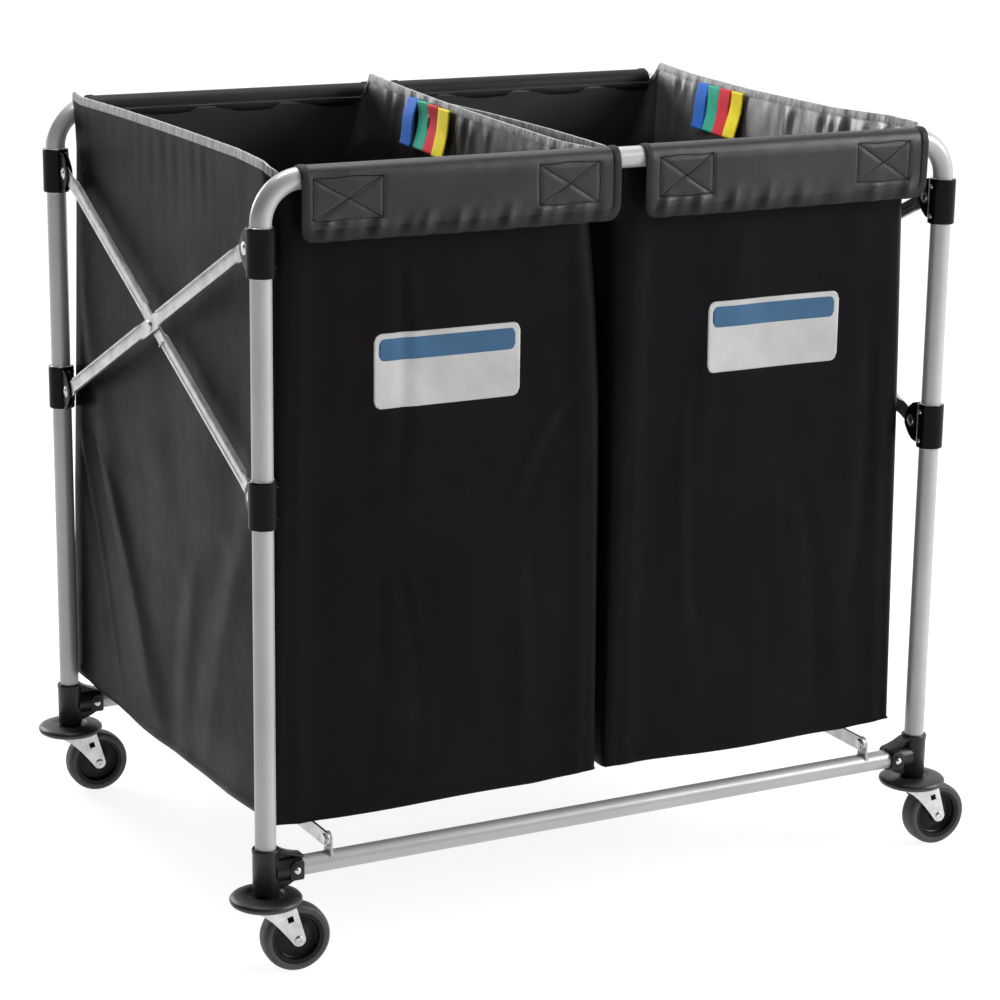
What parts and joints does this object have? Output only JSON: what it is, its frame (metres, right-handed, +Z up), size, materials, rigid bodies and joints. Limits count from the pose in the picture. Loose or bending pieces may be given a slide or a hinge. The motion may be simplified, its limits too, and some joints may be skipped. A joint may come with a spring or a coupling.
{
  "type": "laundry sorter cart",
  "caption": "Folding X-frame laundry sorter on swivel casters, with side-by-side fabric bags that hook over the top rails and fold flat with the frame.",
  "frame": {"origin": "on the floor, midway between the four legs", "axes": "+X runs to the right along the hoops' rails, +Y from the front hoop to the rear hoop, +Z up"},
  "size_m": [0.9449, 0.686, 0.8633],
  "materials": {
    "frame_paint": "silver-grey satin powder coat",
    "zinc_steel": "bright zinc plate",
    "axle_steel": "bright zinc plate",
    "clamp_black": "black semi-gloss",
    "foot_plastic": "black moulded nylon",
    "bumper_vinyl": "soft black vinyl",
    "hub_plastic": "black moulded plastic",
    "wheel_rubber": "dark grey non-marking tread",
    "bag_cloth": "black coated woven nylon",
    "flap_cloth": "charcoal coated nylon, doubled",
    "ribbon": "woven ribbon in four colours"
  },
  "bodies": {
    "front_frame": {"front_hoop": "frame_paint", "front_bottom_rail": "frame_paint", "front_left_foot": "foot_plastic", "front_right_foot": "foot_plastic", "front_left_bumper": "bumper_vinyl", "front_right_bumper": "bumper_vinyl", "front_left_upper_clamp": "clamp_black", "front_right_upper_clamp": "clamp_black", "front_left_brace_rivet": "zinc_steel", "front_right_brace_rivet": "zinc_steel", "left_bag": "bag_cloth", "right_bag": "bag_cloth", "left_tabs": "ribbon", "right_tabs": "ribbon"},
    "rear_frame": {"rear_hoop": "frame_paint", "rear_bottom_rail": "frame_paint", "rear_left_foot": "foot_plastic", "rear_right_foot": "foot_plastic", "rear_left_bumper": "bumper_vinyl", "rear_right_bumper": "bumper_vinyl", "rear_left_upper_clamp": "clamp_black", "rear_right_upper_clamp": "clamp_black", "rear_left_brace_rivet": "zinc_steel", "rear_right_brace_rivet": "zinc_steel"},
    "left_outer_arm": {"left_outer_arm": "zinc_steel", "left_cross_rivet": "zinc_steel"},
    "left_inner_arm": {"left_inner_arm": "zinc_steel"},
    "right_outer_arm": {"right_outer_arm": "zinc_steel", "right_cross_rivet": "zinc_steel"},
    "right_inner_arm": {"right_inner_arm": "zinc_steel"},
    "front_left_slider": {"front_left_sliding_clamp": "clamp_black"},
    "left_front_brace": {"left_front_brace_bar": "zinc_steel"},
    "left_front_flap": {"left_front_flap": "flap_cloth"},
    "front_left_caster": {"front_left_fork": "zinc_steel", "front_left_axle": "axle_steel"},
    "front_left_wheel": {"front_left_hub": "hub_plastic", "front_left_tyre": "wheel_rubber"},
    "front_right_slider": {"front_right_sliding_clamp": "clamp_black"},
    "right_front_brace": {"right_front_brace_bar": "zinc_steel"},
    "right_front_flap": {"right_front_flap": "flap_cloth"},
    "front_right_caster": {"front_right_fork": "zinc_steel", "front_right_axle": "axle_steel"},
    "front_right_wheel": {"front_right_hub": "hub_plastic", "front_right_tyre": "wheel_rubber"},
    "rear_left_slider": {"rear_left_sliding_clamp": "clamp_black"},
    "left_rear_brace": {"left_rear_brace_bar": "zinc_steel"},
    "left_rear_flap": {"left_rear_flap": "flap_cloth"},
    "rear_left_caster": {"rear_left_fork": "zinc_steel", "rear_left_axle": "axle_steel"},
    "rear_left_wheel": {"rear_left_hub": "hub_plastic", "rear_left_tyre": "wheel_rubber"},
    "rear_right_slider": {"rear_right_sliding_clamp": "clamp_black"},
    "right_rear_brace": {"right_rear_brace_bar": "zinc_steel"},
    "right_rear_flap": {"right_rear_flap": "flap_cloth"},
    "rear_right_caster": {"rear_right_fork": "zinc_steel", "rear_right_axle": "axle_steel"},
    "rear_right_wheel": {"rear_right_hub": "hub_plastic", "rear_right_tyre": "wheel_rubber"}
  },
  "joints": [
    {"name": "fold", "type": "hinge", "parent": "front_frame", "child": "left_outer_arm", "pos_m": [-0.4198, -0.274, 0.778], "axis": [-1, 0, 0], "range_deg": [0, 55.05], "deforming": ["left_bag", "right_bag", "left_tabs", "right_tabs"]},
    {"name": "left_cross", "type": "hinge", "parent": "left_outer_arm", "child": "left_inner_arm", "pos_m": [-0.418, 0, 0.6475], "axis": [1, 0, 0], "range_deg": [0, 110.1]},
    {"name": "rear_frame_pivot", "type": "hinge", "parent": "left_inner_arm", "child": "rear_frame", "pos_m": [-0.4162, 0.274, 0.778], "axis": [-1, 0, 0], "range_deg": [0, 55.1]},
    {"name": "front_left_slider_pivot", "type": "hinge", "parent": "left_inner_arm", "child": "front_left_slider", "pos_m": [-0.4162, -0.274, 0.517], "axis": [-1, 0, 0], "range_deg": [0, 55.1]},
    {"name": "rear_left_slider_pivot", "type": "hinge", "parent": "left_outer_arm", "child": "rear_left_slider", "pos_m": [-0.4198, 0.274, 0.517], "axis": [1, 0, 0], "range_deg": [0, 55.1]},
    {"name": "right_arm_pivot", "type": "hinge", "parent": "front_frame", "child": "right_outer_arm", "pos_m": [0.4198, -0.274, 0.778], "axis": [-1, 0, 0], "range_deg": [0, 55.1]},
    {"name": "right_cross", "type": "hinge", "parent": "right_outer_arm", "child": "right_inner_arm", "pos_m": [0.418, 0, 0.6475], "axis": [1, 0, 0], "range_deg": [0, 110.1]},
    {"name": "front_right_slider_pivot", "type": "hinge", "parent": "right_inner_arm", "child": "front_right_slider", "pos_m": [0.4162, -0.274, 0.517], "axis": [-1, 0, 0], "range_deg": [0, 55.1]},
    {"name": "rear_right_slider_pivot", "type": "hinge", "parent": "right_outer_arm", "child": "rear_right_slider", "pos_m": [0.4198, 0.274, 0.517], "axis": [1, 0, 0], "range_deg": [0, 55.1]},
    {"name": "left_front_brace_pivot", "type": "hinge", "parent": "front_frame", "child": "left_front_brace", "pos_m": [-0.3483, -0.304, 0.14], "axis": [1, 0, 0], "range_deg": [0, 74.8]},
    {"name": "left_rear_brace_pivot", "type": "hinge", "parent": "rear_frame", "child": "left_rear_brace", "pos_m": [-0.3516, 0.304, 0.14], "axis": [-1, 0, 0], "range_deg": [0, 74.8]},
    {"name": "right_front_brace_pivot", "type": "hinge", "parent": "front_frame", "child": "right_front_brace", "pos_m": [0.3417, -0.304, 0.14], "axis": [1, 0, 0], "range_deg": [0, 74.8]},
    {"name": "right_rear_brace_pivot", "type": "hinge", "parent": "rear_frame", "child": "right_rear_brace", "pos_m": [0.3384, 0.304, 0.14], "axis": [-1, 0, 0], "range_deg": [0, 74.8]},
    {"name": "left_front_flap_lift", "type": "hinge", "parent": "front_frame", "child": "left_front_flap", "pos_m": [-0.1945, -0.304, 0.8629], "axis": [-1, 0, 0], "range_deg": [0, 120]},
    {"name": "left_rear_flap_lift", "type": "hinge", "parent": "rear_frame", "child": "left_rear_flap", "pos_m": [-0.1945, 0.304, 0.8629], "axis": [1, 0, 0], "range_deg": [0, 120]},
    {"name": "right_front_flap_lift", "type": "hinge", "parent": "front_frame", "child": "right_front_flap", "pos_m": [0.203, -0.304, 0.8629], "axis": [-1, 0, 0], "range_deg": [0, 120]},
    {"name": "right_rear_flap_lift", "type": "hinge", "parent": "rear_frame", "child": "right_rear_flap", "pos_m": [0.203, 0.304, 0.8629], "axis": [1, 0, 0], "range_deg": [0, 120]},
    {"name": "front_left_swivel", "type": "hinge", "parent": "front_frame", "child": "front_left_caster", "pos_m": [-0.418, -0.304, 0.08], "axis": [0, 0, 1], "continuous": true},
    {"name": "front_left_wheel_spin", "type": "hinge", "parent": "front_left_caster", "child": "front_left_wheel", "pos_m": [-0.38612, -0.30679, 0.0375], "axis": [0.0872, 0.9962, 0], "continuous": true},
    {"name": "front_right_swivel", "type": "hinge", "parent": "front_frame", "child": "front_right_caster", "pos_m": [0.418, -0.304, 0.08], "axis": [0, 0, 1], "continuous": true},
    {"name": "front_right_wheel_spin", "type": "hinge", "parent": "front_right_caster", "child": "front_right_wheel", "pos_m": [0.44996, -0.30567, 0.0375], "axis": [0.0523, 0.9986, 0], "continuous": true},
    {"name": "rear_left_swivel", "type": "hinge", "parent": "rear_frame", "child": "rear_left_caster", "pos_m": [-0.418, 0.304, 0.08], "axis": [0, 0, 1], "continuous": true},
    {"name": "rear_left_wheel_spin", "type": "hinge", "parent": "rear_left_caster", "child": "rear_left_wheel", "pos_m": [-0.38604, 0.30233, 0.0375], "axis": [0.0523, 0.9986, 0], "continuous": true},
    {"name": "rear_right_swivel", "type": "hinge", "parent": "rear_frame", "child": "rear_right_caster", "pos_m": [0.418, 0.304, 0.08], "axis": [0, 0, 1], "continuous": true},
    {"name": "rear_right_wheel_spin", "type": "hinge", "parent": "rear_right_caster", "child": "rear_right_wheel", "pos_m": [0.44982, 0.30066, 0.0375], "axis": [0.1045, 0.9945, 0], "continuous": true}
  ],
  "couplings": [
    {"joint": "left_cross", "follows": "fold", "ratio": 2},
    {"joint": "rear_frame_pivot", "follows": "fold", "ratio": 1},
    {"joint": "front_left_slider_pivot", "follows": "fold", "ratio": 1},
    {"joint": "rear_left_slider_pivot", "follows": "fold", "ratio": 1},
    {"joint": "right_arm_pivot", "follows": "fold", "ratio": 1},
    {"joint": "right_cross", "follows": "fold", "ratio": 2},
    {"joint": "front_right_slider_pivot", "follows": "fold", "ratio": 1},
    {"joint": "rear_right_slider_pivot", "follows": "fold", "ratio": 1},
    {"joint": "left_front_brace_pivot", "follows": "fold", "ratio": 1.3577},
    {"joint": "left_rear_brace_pivot", "follows": "fold", "ratio": 1.3577},
    {"joint": "right_front_brace_pivot", "follows": "fold", "ratio": 1.3577},
    {"joint": "right_rear_brace_pivot", "follows": "fold", "ratio": 1.3577}
  ]
}
